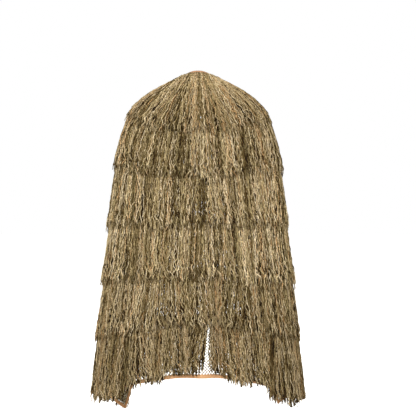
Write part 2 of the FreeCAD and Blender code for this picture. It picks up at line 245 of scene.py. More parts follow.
def edge_bearing(side, v, inset=0.0):
    """Bearing of the front edge on one side, or of a line that runs inset from it."""
    gap = NECK_GAP + (HEM_GAP[side] - NECK_GAP) * np.maximum(v, 0) ** GAP_CURVE + inset
    across = gap / through(SIDE, v, 1)
    along = (1 - across**SQUARENESS) ** (1 / SQUARENESS)
    return side * (90 + np.degrees(np.arctan2(along, across)))


def between(theta_from, theta_to, v, share):
    """The bearing at a share of the way across a panel whose sides are functions of v."""
    return theta_from(v) + (theta_to(v) - theta_from(v)) * share


# -------- meshes
def new_mesh(name, points, groups, material, attributes=()):
    """A piece from points and groups of faces, each group with one number of corners."""
    mesh = bpy.data.meshes.new(name)
    mesh.vertices.add(len(points))
    mesh.vertices.foreach_set("co", np.asarray(points, np.float32).ravel())
    corners = np.concatenate([group.ravel() for group in groups]).astype(np.int32)
    sizes = np.concatenate([np.full(len(group), group.shape[1]) for group in groups])
    starts = np.concatenate([[0], np.cumsum(sizes)[:-1]]).astype(np.int32)
    mesh.loops.add(len(corners))
    mesh.loops.foreach_set("vertex_index", corners)
    mesh.polygons.add(len(sizes))
    mesh.polygons.foreach_set("loop_start", starts)
    mesh.update(calc_edges=True)
    mesh.validate()
    for key, values in attributes:
        values = np.asarray(values, np.float32)
        kind, field = ("FLOAT", "value") if values.ndim == 1 else ("FLOAT_VECTOR", "vector")
        mesh.attributes.new(key, kind, "POINT").data.foreach_set(field, values.ravel())
    mesh.shade_smooth()
    mesh.materials.append(material)
    piece = bpy.data.objects.new(name, mesh)
    scene.collection.objects.link(piece)
    return piece


def tubes(paths, normals, radii, sides, twist=0.0, lobes=0.0):
    """Closed tubes along many paths at once: paths and normals are (tube, station, 3), radii (tube, station).
    The section turns by twist degrees from one station to the next, and lobes makes it two-lobed, as a
    two-ply yarn is. Returns points, faces and each point's place round its tube, from 0 to 1."""
    count, stations = paths.shape[:2]
    tangent = unit(np.gradient(paths, axis=1))
    aside = unit(np.cross(tangent, normals))
    up = np.cross(aside, tangent)
    place = 2 * np.pi * np.arange(sides) / sides
    turn = place + np.radians(twist) * np.arange(stations)[:, None]
    ring = aside[:, :, None] * np.cos(turn)[..., None] + up[:, :, None] * np.sin(turn)[..., None]
    reach = radii[:, :, None] * (1 + lobes * np.cos(2 * place))
    points = (paths[:, :, None] + ring * reach[..., None]).reshape(-1, 3)
    index = np.arange(count * stations * sides).reshape(count, stations, sides)
    following = np.roll(index, -1, axis=2)
    walls = np.stack([index[:, :-1], following[:, :-1], following[:, 1:], index[:, 1:]], -1).reshape(-1, 4)
    caps = np.concatenate([index[:, 0, ::-1], index[:, -1]])
    around = np.broadcast_to(np.arange(sides) / sides, (count, stations, sides)).ravel()
    return points, [walls, caps], around


def band(name, stations, section, material):
    """A piece of tape with closed ends. Stations are points, normals and outward directions, and the
    section's corners are (height along normal, reach along outward). The weave attribute is the place along
    the tape and round its section, in metres."""
    point, normal, outward = stations
    section = np.asarray(section, float)
    points = point[:, None] + normal[:, None] * section[:, 0, None] + outward[:, None] * section[:, 1, None]
    index = np.arange(points[..., 0].size).reshape(points.shape[:2])
    following = np.roll(index, -1, axis=1)
    walls = np.stack([index[:-1], index[1:], following[1:], following[:-1]], -1).reshape(-1, 4)
    caps = [index[0][None, :], index[-1][None, ::-1]]
    along, around = arc_lengths(point), arc_lengths(section)
    weave = np.stack(np.broadcast_arrays(along[:, None], around[None, :], 0.0), -1).reshape(-1, 3)
    return new_mesh(name, points.reshape(-1, 3), [walls, *caps], material, [("weave", weave)])


def rounded_flat(low, thick, width):
    """The section of a flat tape with soft edges, as (height, reach)."""
    half, soft = width / 2, thick * 0.45
    across = np.linspace(-half + soft, half - soft, 7)
    crown = 0.00015 * np.cos(np.pi * across / width)
    bottom = [(low, a) for a in across]
    top = [(low + thick + c, a) for a, c in zip(across[::-1], crown)]
    sides = low + thick * 0.3, low + thick * 0.7
    return bottom + [(h, half) for h in sides] + top + [(h, -half) for h in sides[::-1]]


def folded_section(width):
    """The U of a binding tape folded over the cloth's edge, rounded at the fold."""
    low, high = -BINDING_ROOM, CLOTH_THICK + BINDING_ROOM
    legs = np.linspace(-width, -0.0008, 4)
    fold = np.linspace(-math.pi / 2, math.pi / 2, 7)

    def outline(thick):
        radius = (high - low) / 2 + thick
        bend = [((low + high) / 2 + radius * math.sin(a), -0.0006 + radius * math.cos(a)) for a in fold]
        return [(low - thick, r) for r in legs] + bend + [(high + thick, r) for r in legs[::-1]]

    return outline(BINDING_THICK) + outline(0)[::-1]


# -------- materials
def srgb(red, green, blue):
    """A linear colour from 8-bit screen values."""
    shares = [c / 255 for c in (red, green, blue)]
    return tuple(c / 12.92 if c <= 0.04045 else ((c + 0.055) / 1.055) ** 2.4 for c in shares) + (1.0,)


class Nodes:
    """Builds one material's node tree."""

    def __init__(self, name, roughness, **constants):
        self.material = bpy.data.materials.new(name)
        self.material.use_nodes = True
        self.tree = self.material.node_tree
        self.shader = self.tree.nodes["Principled BSDF"]
        self.shader.inputs["Roughness"].default_value = roughness
        for socket, value in constants.items():
            self.shader.inputs[socket.replace("_", " ")].default_value = value

    def add(self, kind, links=None, **settings):
        node = self.tree.nodes.new(kind)
        for key, value in settings.items():
            setattr(node, key, value)
        for socket, value in (links or {}).items():
            self.put(node.inputs[socket], value)
        return node

    def put(self, socket, value):
        if hasattr(value, "is_output"):
            self.tree.links.new(value, socket)
        else:
            socket.default_value = value

    def attribute(self, name, output="Fac"):
        return self.add("ShaderNodeAttribute", attribute_name=name).outputs[output]

    def maths(self, operation, a, b=0.0):
        return self.add("ShaderNodeMath", {0: a, 1: b}, operation=operation).outputs[0]

    def times(self, a, b):
        return self.maths("MULTIPLY", a, b)

    def plus(self, a, b):
        return self.maths("ADD", a, b)

    def moved(self, vector, offset):
        return self.add("ShaderNodeVectorMath", {0: vector, 1: offset}, operation="ADD").outputs[0]

    def vector(self, x, y, z=0.0):
        return self.add("ShaderNodeCombineXYZ", {"X": x, "Y": y, "Z": z}).outputs[0]

    def noise(self, vector, scale, detail):
        links = {"Vector": vector, "Scale": scale, "Detail": detail, "Roughness": 0.6}
        return self.add("ShaderNodeTexNoise", links).outputs["Fac"]

    def ramp(self, factor, stops):
        node = self.add("ShaderNodeValToRGB", {"Fac": factor})
        elements = node.color_ramp.elements
        while len(elements) < len(stops):
            elements.new(1.0)
        for element, (place, colour) in zip(elements, stops):
            element.position = place
            element.color = colour
        return node.outputs["Color"]

    def mix(self, factor, a, b, blend="MIX"):
        node = self.add("ShaderNodeMix", data_type="RGBA", blend_type=blend)
        for key, value in ((0, factor), (6, a), (7, b)):
            self.put(node.inputs[key], value)
        return node.outputs[2]

    def bump(self, height, strength, distance):
        links = {"Height": height, "Strength": strength, "Distance": distance}
        self.put(self.shader.inputs["Normal"], self.add("ShaderNodeBump", links).outputs["Normal"])

    def colour(self, value):
        self.put(self.shader.inputs["Base Color"], value)


BLACK, WHITE = (0.0, 0.0, 0.0, 1), (1.0, 1.0, 1.0, 1)
YARN_COLOURS = [(0.00, srgb(60, 41, 15)), (0.12, srgb(94, 73, 35)), (0.24, srgb(148, 131, 90)),
                (0.42, srgb(190, 167, 120)), (0.58, srgb(215, 194, 152)), (0.76, srgb(222, 203, 168)),
                (0.90, srgb(216, 188, 144)), (1.00, srgb(198, 158, 108))]
# Deep shadows in the yarn are browner, and its lightest places are cooler.
YARN_TINTS = [(0.08, (1.0, 0.82, 0.42, 1)), (0.30, (1.0, 0.94, 0.78, 1)), (0.55, WHITE),
              (1.00, (0.94, 1.0, 1.12, 1))]
# Painted shade in the grooves between the plies, from the deepest groove to none.
GROOVE_PAINTED_SHADE = [(0.0, (0.62, 0.58, 0.48, 1)), (0.7, WHITE)]


def yarn_material():
    """Twisted matt yarn whose dye changes along each strand, with painted light and shade from its tone, its
    kinks and its grooves.
    """
    n = Nodes("yarn", 0.92, Specular_IOR_Level=0.08, Sheen_Weight=0.03, Sheen_Roughness=0.6)
    hue, seed = n.attribute("hue"), n.attribute("seed")
    along, around = n.attribute("along"), n.attribute("around")
    dye = n.noise(n.vector(n.times(seed, 57.0), n.times(along, 14.0)), 1.0, 2.0)
    shifted = n.plus(hue, n.times(n.maths("SUBTRACT", dye, 0.5), 0.6))
    base = n.ramp(shifted, YARN_COLOURS)
    # Painted light and shade of small kinks: the lightness swings along each strand.
    kink_light_and_shade = n.noise(n.vector(n.times(seed, 733.0), n.times(along, 120.0)), 1.0, 3.0)
    level = n.times(n.attribute("tone"), n.plus(0.12, n.times(kink_light_and_shade, 1.80)))
    tint = n.ramp(n.times(level, 0.6), YARN_TINTS)
    ply = n.maths("SINE", n.plus(n.times(along, 900.0), n.times(around, 4 * math.pi)))
    fuzz = n.noise(n.vector(n.times(seed, 91.0), n.times(along, 260.0), around), 1.0, 4.0)
    groove = n.plus(n.times(ply, 0.5), n.times(fuzz, 0.8))
    # Painted shade in the grooves.
    shade = n.ramp(n.plus(n.times(groove, 0.5), 0.3), GROOVE_PAINTED_SHADE)
    toned = n.mix(1.0, n.mix(1.0, base, tint, "MULTIPLY"), n.vector(level, level, level), "MULTIPLY")
    n.colour(n.mix(1.0, toned, shade, "MULTIPLY"))
    n.bump(groove, 0.7, 0.0006)
    return n.material


# The netting's print over its ground: (offset and scale of its noise, where a blotch starts, where it is
# solid, colour).
PRINT_GROUND = srgb(216, 208, 182)
PRINT_BLOTCHES = [((0, 0, 0), 7.0, 0.50, 0.53, srgb(170, 178, 144)),
                  ((3.1, 1.7, 0.4), 8.0, 0.56, 0.59, srgb(142, 116, 90)),
                  ((7.3, 4.9, 2.2), 10.0, 0.62, 0.64, srgb(84, 68, 56))]


def net_material():
    """Knotted mesh with a soft camouflage print."""
    n = Nodes("camo_net", 0.85, Specular_IOR_Level=0.2, Sheen_Weight=0.1)
    flat = n.attribute("flat", "Vector")
    warp = n.add("ShaderNodeTexNoise", {"Vector": flat, "Scale": 9.0, "Detail": 2.0}).outputs["Color"]
    gentle = n.add("ShaderNodeVectorMath", {0: warp, "Scale": 0.10}, operation="SCALE").outputs[0]
    bent = n.moved(flat, gentle)
    print_colour = PRINT_GROUND
    for offset, scale, starts, solid, colour in PRINT_BLOTCHES:
        blotches = n.ramp(n.noise(n.moved(bent, offset), scale, 3.0), [(starts, BLACK), (solid, WHITE)])
        print_colour = n.mix(blotches, print_colour, colour)
    fibre = n.noise(flat, 900.0, 2.0)
    fibre_colour = n.ramp(fibre, [(0.3, srgb(120, 110, 90)), (0.7, srgb(236, 228, 206))])
    n.colour(n.mix(0.35, print_colour, fibre_colour, "OVERLAY"))
    n.bump(fibre, 0.5, 0.0004)
    return n.material


def woven_material(name, dark, light, rib=0.0011):
    """Woven tape: fine ribs across it, threads along it, and patchy wear."""
    n = Nodes(name, 0.8, Specular_IOR_Level=0.2, Sheen_Weight=0.15)
    weave = n.attribute("weave", "Vector")
    parts = n.add("ShaderNodeSeparateXYZ", {"Vector": weave})
    ribs = n.maths("SINE", n.times(parts.outputs["X"], 2 * math.pi / rib))
    threads = n.maths("SINE", n.times(parts.outputs["Y"], 2 * math.pi / (rib * 0.8)))
    weave_height = n.times(ribs, threads)
    patches = n.noise(weave, 60.0, 4.0)
    mixed = n.plus(n.times(weave_height, 0.22), patches)
    n.colour(n.ramp(mixed, [(0.2, dark), (0.8, light)]))
    n.bump(weave_height, 0.6, 0.0003)
    return n.material


def thread_material(colour):
    n = Nodes("stitch_thread", 0.6, Specular_IOR_Level=0.3)
    speckle = n.noise(n.add("ShaderNodeTexCoord").outputs["Object"], 2500.0, 2.0)
    darker = tuple(0.55 * c for c in colour[:3]) + (1.0,)
    n.colour(n.ramp(speckle, [(0.3, darker), (0.7, colour)]))
    n.bump(speckle, 0.4, 0.0002)
    return n.material


def metal_material():
    """Oxidised brass, rubbed brighter in places."""
    n = Nodes("snap_metal", 0.38, Metallic=1.0)
    place = n.add("ShaderNodeTexCoord").outputs["Object"]
    rub = n.noise(place, 420.0, 4.0)
    n.colour(n.ramp(rub, [(0.35, srgb(72, 62, 48)), (0.55, srgb(104, 90, 66)), (0.75, srgb(168, 144, 100))]))
    n.put(n.shader.inputs["Roughness"], n.plus(0.24, n.times(rub, 0.3)))
    n.bump(n.noise(place, 1500.0, 2.0), 0.15, 0.0001)
    return n.material


YARN = yarn_material()
NET = net_material()
ROW_TAPE = woven_material("row_tape", srgb(84, 74, 52), srgb(124, 110, 80))
BINDING = woven_material("edge_binding", srgb(204, 146, 98), srgb(244, 194, 146))
# The neck has the same binding tape as the hem and the front edges; its copy is painted darker, as shade,
# because it faces up into the lamps.
NECK_BINDING_SHADED_COPY = woven_material("neck_binding", srgb(146, 104, 76), srgb(196, 150, 114))
WEBBING = woven_material("webbing", srgb(84, 78, 56), srgb(132, 122, 90), rib=0.0016)
THREAD = thread_material(srgb(206, 176, 128))
METAL = metal_material()


# -------- netting
def net_levels(theta_from, theta_to, seam_share):
    """Crossings of the mesh, laid out as on the flat cloth. Levels run down the cloth, and columns run across
    from the seam. Returns points, normals and flat places, NaN outside the panel, and the flat sizes."""
    rows = np.linspace(0, 1, 401)
    down = arc_lengths(cloth(between(theta_from, theta_to, rows, seam_share), rows))
    step = MESH_PITCH / math.sqrt(2)
    levels = int(down[-1] / step)
    columns = np.arange(-HALF_COLUMNS, HALF_COLUMNS + 1)
    s = columns * step
    points, normals, flat = (np.full((levels, len(columns), 3), np.nan) for _ in range(3))
    area, widths = 0.0, []
    for k in range(levels):
        t = (k + 0.5) * step
        v = np.interp(t, down, rows)
        theta = np.linspace(theta_from(v), theta_to(v), 161)
        line = cloth(theta, v)
        arc = arc_lengths(line)
        arc -= np.interp(seam_share, np.linspace(0, 1, len(theta)), arc)
        widths.append(arc[-1] - arc[0])
        inside = ((columns + k) % 2 == 0) & (s > arc[0] + NET_INSET) & (s < arc[-1] - NET_INSET)
        point, normal, _ = frame_at(np.interp(s[inside], arc, theta), v)
        points[k, inside] = point + normal * NET_LIFT
        normals[k, inside] = normal
        flat[k, inside] = np.stack([s[inside], np.full(inside.sum(), t), np.zeros(inside.sum())], -1)
        next_v = np.interp(t + step, down, rows)
        drop = np.linalg.norm(cloth(theta, next_v) - line, axis=1).mean()
        area += drop * widths[-1]
    return points, normals, flat, (max(widths), float(down[-1]), area)


def mesh_cords(points, normals, flat):
    """The two sets of diagonal cords through the crossings, as closed tubes."""
    made, attribute, walls, offset = [], [], [], 0
    levels, width = points.shape[:2]
    rows = np.arange(levels)
    for slant in (1, -1):
        grids = [grid[:, ::slant] for grid in (points, normals, flat)]
        for start in range(-levels, width):
            columns = start + rows
            keep = (columns >= 0) & (columns < width)
            line, normal, place = (grid[rows[keep], columns[keep]] for grid in grids)
            valid = ~np.isnan(line[:, 0])
            edges = np.flatnonzero(np.diff(np.concatenate([[0], valid.astype(int), [0]])))
            for low, high in zip(edges[::2], edges[1::2]):
                if high - low < 2:
                    continue
                radii = np.full((1, high - low), CORD_RADIUS)
                tube, faces, _ = tubes(line[None, low:high], normal[None, low:high], radii, CORD_SIDES)
                made.append(tube)
                attribute.append(np.repeat(place[low:high], CORD_SIDES, axis=0))
                walls.append([group + offset for group in faces])
                offset += len(tube)
    return np.concatenate(made), [np.concatenate(kind) for kind in zip(*walls)], np.concatenate(attribute)


def make_net(name, theta_from, theta_to, seam_share):
    points, normals, flat, sizes = net_levels(theta_from, theta_to, seam_share)
    mesh_points, faces, place = mesh_cords(points, normals, flat)
    piece = new_mesh(name, mesh_points, faces, NET, [("flat", place)])
    return piece, sizes


# -------- yarn
# Places where the yarn parts and shows the netting: (row, bearing, width at the tips).
PARTINGS = [(2, 80, 0.026), (4, -82, 0.030), (5, 31, 0.020),
            (6, -5.8, 0.034), (6, -46, 0.012), (6, 52, 0.012)]
PARTING_REACH = 0.024  # how far from a parting the strands still bend away
# Darker patches of yarn, partly darker locks and partly painted shade of deep gaps: (row, bearing, width, how
# much darker).
DARK_LOCKS_AND_SHADE = [(6, -45, 0.040, 0.50), (6, 22, 0.026, 0.35), (5, -9, 0.040, 0.30), (5, -36, 0.030, 0.25),
              (4, 40, 0.030, 0.25), (3, -22, 0.026, 0.25), (2, 50, 0.030, 0.30), (2, -50, 0.040, 0.30)]
LEAN = (0.008, 0.009, 0.010, 0.013, 0.022, 0.026)  # of the locks in each row, at the tips


def smooth_step(low, high, value):
    t = np.clip((value - low) / (high - low), 0, 1)
    return t * t * (3 - 2 * t)


def off_middle_of_hem(theta):
    """0 along the stretch of the back's hem where the binding shows below the yarn, and 1 away from it."""
    return smooth_step(*BARE_HEM, np.abs(theta - BARE_HEM_AT))


def over_corners(theta):
    """How much lower the back's yarn hangs over the corners of the fronts."""
    return sum(drop * (smooth_step(starts, full, side * theta) * (1 - smooth_step(fades, ends, side * theta)))
               for side, drop, (starts, full, fades, ends) in CORNERS)


def tips_at(row, theta):
    """Where a row's tips end, on the whole. The lowest row's end near the hem."""
    tip = np.full(np.shape(theta), ROW_TIPS[row - 1])
    if row == LAST_ROW:
        on_back = np.abs(theta) <= 90
        at_left_side = np.exp(-((theta - LEFT_SIDE_AT) / LEFT_SIDE_SPREAD) ** 2)
        tip = tip + LOWER_TIPS + LOWER_OFF_MIDDLE * off_middle_of_hem(theta) * on_back
        tip = tip + LOWER_LEFT_FRONT * (theta > 90) - HIGHER_LEFT_SIDE * at_left_side + over_corners(theta)
    return tip


def lowest_tips(theta):
    """How low the lowest row's tips may reach, so that the hem binding shows at the middle."""
    return HEM_SHOWS + HANGS_PAST * off_middle_of_hem(theta) + over_corners(theta)


class Row:
    """The strands of one row of yarn, gathered in clumps, and the clumps in wider locks."""

    def __init__(self, row, theta_from, theta_to, splay, rng):
        self.row, self.splay, self.rng = row, splay, rng
        tip_v = ROW_TIPS[row - 1]
        grid = np.linspace(0, 1, 200)
        arc = arc_lengths(cloth(between(theta_from, theta_to, tip_v, grid), tip_v))
        self.width = arc[-1]
        per_layer = int(self.width / STRAND_PITCH)
        self.layer = np.repeat(np.arange(LAYERS), per_layer)
        self.count = len(self.layer)
        self.is_top = (self.layer > 0)[:, None]
        spread = np.tile(np.arange(per_layer), LAYERS) + self.layer / LAYERS
        spread = (spread + rng.uniform(-0.45, 0.45, self.count) * (0.4 + 0.6 * (self.layer > 0))) / per_layer
        self.share = np.interp(np.clip(spread, 0.002, 0.998) * arc[-1], arc, grid)
        self.theta_root = between(theta_from, theta_to, tip_v, self.share)
        self.clump, self.clumps = self.group(CLUMP)
        self.lock, self.locks = self.group(LOCK)

    def group(self, size):
        number = max(int(self.width / size), 2)
        blur = self.rng.normal(0, 0.25, self.count)
        return np.clip((self.share * number + blur).astype(int), 0, number - 1), number

    def own(self, low, high):
        return self.rng.uniform(low, high, self.count)[:, None]

    def per_clump(self, low, high):
        return self.rng.uniform(low, high, self.clumps)[self.clump][:, None]

    def per_lock(self, low, high):
        return self.rng.uniform(low, high, self.locks)[self.lock][:, None]

    def ripple(self, u, number, draw):
        """Waves of unit size, with the least and the most of them in a strand's length."""
        return np.sin(2 * np.pi * (u * draw(*number) + draw(0, 1)))

    def wave(self, u, kind, draw):
        size, number = kind
        return draw(*size) * self.ripple(u, number, draw)

    def distance_from(self, bearing):
        """How far round the cloth each strand hangs from a bearing, at the tips."""
        return (self.theta_root - bearing) * metres_per_degree(bearing, ROW_TIPS[self.row - 1])

    def parted(self):
        """How far each strand's tip is pushed aside by the partings."""
        push = np.zeros(self.count)
        for row, bearing, width in PARTINGS:
            if row == self.row:
                away = self.distance_from(bearing)
                near = np.abs(away) < 4 * PARTING_REACH
                push += np.where(near, np.sign(away) * width / 2 * np.exp(-np.abs(away) / PARTING_REACH), 0)
        return push[:, None]

    def darkened_by_locks_and_shade(self):
        """Share of its light that each strand keeps, by how near it hangs to a darker patch, which is partly
        a darker lock and partly painted shade.
        """
        kept = np.ones(self.count)
        for row, bearing, width, darker in DARK_LOCKS_AND_SHADE:
            if row == self.row:
                away = self.distance_from(bearing) / (width / 2)
                kept = kept * (1 - darker * np.exp(-away**2) * self.rng.uniform(0.5, 1.2, self.count))
        return kept

    def sideways(self, u):
        """Displacement round the body: lean, bends and waves at several scales."""
        rng = self.rng
        loose = 0.25 + 0.75 * self.is_top
        centre = (self.clump + 0.5)[:, None] / self.clumps
        shift = (centre - self.share[:, None]) * self.width * self.per_clump(0.0, 0.5) * u**1.5 * loose
        place = self.share * self.width
        lean = sum(np.sin(place / span + rng.uniform(0, 2 * np.pi)) for span in (0.045, 0.021)) / 1.4
        shift = shift + LEAN[self.row - 1] * lean[:, None] * u**1.2 * self.own(0.5, 1.3) * loose
        shift = shift + LEAN[self.row - 1] * self.per_lock(-0.6, 0.6) * u**1.3 * loose
        shift = shift + self.parted() * u**0.9
        shift = shift + self.splay * smooth_step(0.86, 1.0, self.share)[:, None] * u**0.8 * self.own(0.2, 1.4)
        drift = self.wave(u, DRIFT, self.per_clump)
        bend, wave, crimp = (self.wave(u, kind, self.own) for kind in (BEND, WAVE, CRIMP))
        shift = shift + loose * (drift * u + bend * u**0.6 + wave * (0.4 + 0.6 * u) + crimp)
        stray = (self.own(0, 1) < STRAY_SHARE) * self.own(-STRAY_REACH, STRAY_REACH)
        return shift + stray * smooth_step(0.3, 1.0, u) * self.is_top

    def heights(self, u):
        """Height over the cloth. Later layers lie over earlier ones."""
        part = (self.layer[:, None] + self.own(0, 1)) / LAYERS
        closer = 0.7 if self.row == LAST_ROW else 1.0
        root = ROOT_LIFT[0] + (ROOT_LIFT[1] - ROOT_LIFT[0]) * part
        hang = closer * (TIP_LIFT[0] + (TIP_LIFT[1] - TIP_LIFT[0]) * part)
        wave = self.wave(u, RISE, self.own)
        swell = self.per_lock(-0.001, 0.0035) * np.sin(np.pi * u)
        flare = self.per_clump(-0.002, 0.006) * smooth_step(0.7, 1.0, u) * (self.row < LAST_ROW)
        return np.maximum(root + (hang - root) * u**0.8 + wave + swell + flare, LEAST_LIFT)

    def tips(self):
        """Where each strand ends, as v."""
        ragged = TIP_RAGGED / BACK_LENGTH
        short = UNDER_SHORT_AT_HEM if self.row == LAST_ROW else UNDER_SHORT
        tip = tips_at(self.row, self.theta_root)[:, None]
        tip = tip + ragged * (self.per_lock(-1, 1) + self.per_clump(-0.9, 0.9))
        tip = tip + ragged * self.own(-1.6, 1.1) - short * ~self.is_top
        if self.row == LAST_ROW:
            tip = np.minimum(tip, lowest_tips(self.theta_root)[:, None] + ragged * self.own(-0.2, 0.35))
        return tip

    def radii(self, u):
        slub = 1 + SLUB * self.ripple(u, SLUBS, self.own)
        slender = STRAND_RADIUS * self.own(0.62, 1.12)
        stout = UNDER_STOUT * STRAND_RADIUS * self.own(0.85, 1.12)
        taper = 1 - 0.35 * self.is_top * smooth_step(0.95, 1.0, u)
        taper = taper * (0.8 + 0.2 * smooth_step(0, 0.08, u))
        return np.where(self.is_top, slender, stout) * slub * taper

    def dyes_and_painted_light(self, u):
        """Each strand's place in the range of yarn colours, and its lightness down its length, which holds
        painted shade and painted light.
        """
        rng = self.rng
        lock_hue = HUE_SPREAD[0] * rng.normal(size=self.locks)[self.lock]
        clump_hue = HUE_SPREAD[1] * rng.normal(size=self.clumps)[self.clump]
        hue = HUE + lock_hue + clump_hue + HUE_SPREAD[2] * rng.normal(size=self.count)
        hue = np.clip(hue, 0.16, 0.95)
        # Some strands are dyed dark; the extra dark ones in the under layer are painted shade.
        dark = rng.uniform(size=self.count) < DARK_SHARE + MORE_DARK_UNDER_AS_SHADE * (self.layer == 0)
        hue = np.where(dark, rng.uniform(0.0, 0.14, self.count), hue)
        # The deeper layers are painted darker here, as shade.
        tone = ROW_TONE[self.row - 1] * np.array(LAYER_PAINTED_SHADE)[self.layer] * rng.uniform(0.72, 1.28, self.count)
        # Painted light: the last fifth of each strand is made up to 22% lighter towards its tip.
        tone = (tone * self.darkened_by_locks_and_shade())[:, None] * (1 + 0.22 * smooth_step(0.8, 1.0, u))
        # Painted shade where a row comes out from under the one above.
        if self.row > 1:
            tone = tone * (1 - ROW_SHADE * (1 - smooth_step(0.13, 0.28, u)))
        return hue, tone


def yarn_row(name, row, theta_from, theta_to, top_at, rng, splay=0.0):
    """One row of hanging yarn between two bearings, which are functions of v. It starts at top_at(share of
    the way across), and strands near theta_to spread past it by up to about splay."""
    r = Row(row, theta_from, theta_to, splay, rng)
    u = np.concatenate([np.linspace(0, 0.62, 14), np.linspace(0.65, 1, 14)])[None, :]
    top = top_at(r.share)[:, None] + r.own(-0.003, 0.002)
    v = top + (r.tips() - top) * u
    theta = between(theta_from, theta_to, v, r.share[:, None])

    curl = smooth_step(0.6, 1.0, u) * r.own(0.0, CURL) * (r.own(0, 1) < 0.8) * (0.5 + 0.5 * r.is_top)
    spin = 2 * np.pi * (r.own(0.8, 2.6) * smooth_step(0.55, 1.0, u) + r.own(0, 1))
    aside = r.sideways(u) + curl * np.cos(spin)
    lift = r.heights(u) + 0.6 * curl * np.sin(spin)
    theta = theta + aside / metres_per_degree(theta, v)
    point, normal, _ = frame_at(theta, v)
    paths = point + normal * np.maximum(lift, LEAST_LIFT)[..., None]
    points, faces, around = tubes(paths, normal, r.radii(u), STRAND_SIDES, twist=65, lobes=0.16)

    hue, tone = r.dyes_and_painted_light(u)
    steps = np.linalg.norm(np.diff(paths, axis=1), axis=2)
    length = np.concatenate([np.zeros((r.count, 1)), np.cumsum(steps, axis=1)], 1)
    stations = paths.shape[1]

    def on_points(values):
        return np.repeat(values.ravel(), STRAND_SIDES)

    attributes = [("hue", on_points(np.repeat(hue, stations))),
                  ("tone", on_points(tone)),
                  ("seed", on_points(np.repeat(rng.uniform(size=r.count), stations))),
                  ("along", on_points(length)), ("around", around)]
    piece = new_mesh(name, points, faces, YARN, attributes)
    return piece


# -------- stitches
def stitches(name, points, normals, directions, length, radius):
    """Short raised stitches, each a little arch of thread that dips at both ends."""
    u = np.linspace(-1, 1, 5)
    paths = (points[:, None] + directions[:, None] * (u * length / 2)[:, None]
             + normals[:, None] * (radius * (1 - 1.6 * u**2))[:, None])
    radii = np.broadcast_to(radius * (1 - 0.3 * u**4), paths.shape[:2])
    tube, faces, _ = tubes(paths, np.broadcast_to(normals[:, None], paths.shape), radii, 4)
    return new_mesh(name, tube, faces, THREAD)


def stitch_line(name, stations, height, reach):
    """Stitches along a band at a place in its section."""
    point, normal, outward = stations
    pitch, length, radius = EDGE_STITCH
    line = point + normal * height + outward * reach
    direction = unit(np.gradient(line, axis=0))
    arc = arc_lengths(line)
    places = np.arange(pitch / 2, arc[-1], pitch)
    at, normals, directions = (np.stack([np.interp(places, arc, values[:, k]) for k in range(3)], -1)
                               for values in (line, normal, direction))
    normals = unit(normals) * np.sign(height)
    piece = stitches(name, at, normals, unit(directions), length, radius)
    return piece


# -------- tapes and bindings
def row_tape(name, theta_from, theta_to, v_at, count=120):
    """The tape that a row of yarn is sewn to, at a height read from v_at(theta)."""
    theta = np.linspace(theta_from, theta_to, count)
    section = rounded_flat(TAPE_LIFT, TAPE_THICK, TAPE_WIDTH)
    piece = band(name, frame_at(theta, v_at(theta)), section, ROW_TAPE)
    return piece


def pucker(stations, rng):
    """Lets a sewn band wander a little."""
    point, normal, outward = stations
    wander = np.convolve(rng.normal(0, 1, len(point) + 8), np.ones(9) / 9, "valid") * PUCKER * 2
    return point + outward * wander[:, None], normal, outward


def binding(name, stations, rng, width, material):
    """A tape folded over an edge, with the lines of stitches on both its faces."""
    stations = pucker(stations, rng)
    piece = band(name, stations, folded_section(width), material)
    reach = STITCH_INSET - width
    outside = stitch_line(f"{name}_stitches", stations, CLOTH_THICK + BINDING_ROOM + BINDING_THICK, reach)
    inside = stitch_line(f"{name}_inner_stitches", stations, -BINDING_ROOM - BINDING_THICK, reach)
    return [piece, outside, inside]


def level_stations(theta_from, theta_to, v, direction, count):
    """Stations along a level edge. The direction past the edge is 1 for a hem and -1 for the neckline."""
    point, normal, down = frame_at(np.linspace(theta_from, theta_to, count), v)
    return point, normal, down * direction


def edge_stations(side):
    """Stations down a front edge."""
    v = np.linspace(EDGE_FROM, EDGE_TO, 300)
    theta = edge_bearing(side, v)
    point, normal, _ = frame_at(theta, v)
    past_edge = point - cloth(theta - side * 2, v)
    along = np.gradient(point, axis=0)
    outward = unit(np.cross(normal, along))
    sign = np.sign((outward * past_edge).sum(-1, keepdims=True))
    return point, normal, outward * sign


# -------- making the cape
def constant(value):
    return lambda places: np.full(np.shape(places), float(value))


def row_top(row):
    return ROW_TOPS[row - 1] - (COLLAR_RISE if row == 1 else 0)


def make_seam_tape(side_name, part, bearing, v_from, v_to):
    """A seam's tape, inside the cape."""
    v = np.linspace(v_from, v_to, 60)
    point, normal, down = frame_at(SIDES[side_name] * bearing, v)
    stations = point, -normal, np.cross(down, normal)
    section = rounded_flat(SEAM_LIFT, SEAM_THICK, SEAM_WIDTH)
    name = f"{side_name}_{part}_seam"
    seam = band(name, stations, section, ROW_TAPE)
    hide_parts(f"{name}_tape")
    return seam


